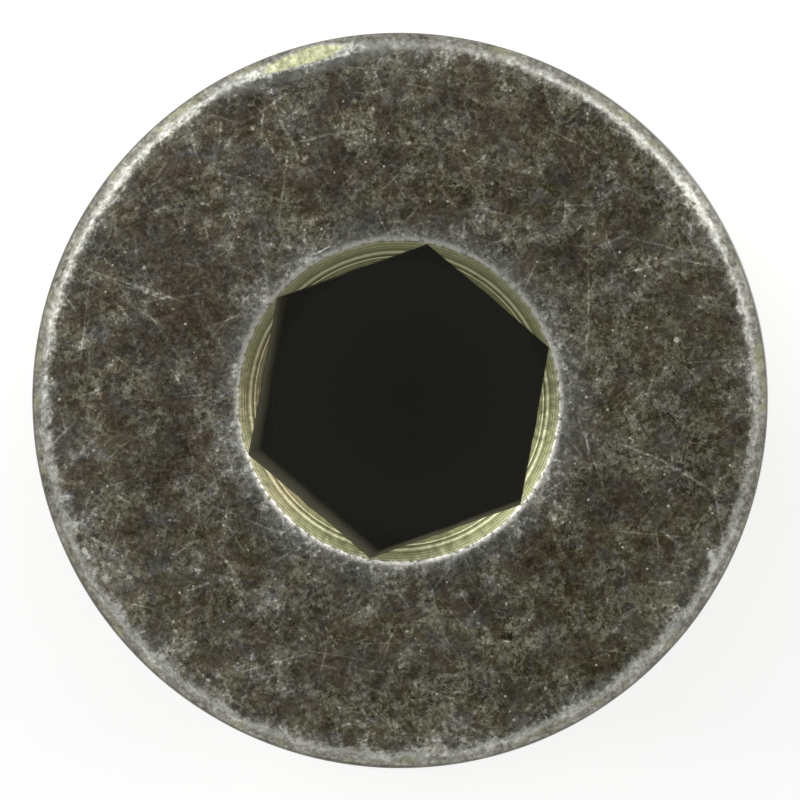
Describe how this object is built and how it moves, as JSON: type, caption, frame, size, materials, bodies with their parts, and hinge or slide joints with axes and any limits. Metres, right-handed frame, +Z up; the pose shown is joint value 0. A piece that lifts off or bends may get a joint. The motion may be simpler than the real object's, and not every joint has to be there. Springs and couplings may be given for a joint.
{
  "type": "hex socket plug",
  "caption": "Round collared screw plug with a hex socket in its top face and a threaded shank below, which closes and seals a threaded port.",
  "frame": {"origin": "centre of the shank's end face, on which the plug stands", "axes": "+Z up along the plug's axis, from the shank's end to the collar's top face; +X through two corners of the hex socket"},
  "size_m": [0.027, 0.027, 0.018],
  "materials": {
    "zinc_plated_steel": "zinc plating with an olive passivation, darkened and scratched on the top face, worn bright at the edges"
  },
  "bodies": {
    "root": {"plug_body": "zinc_plated_steel"}
  },
  "joints": []
}
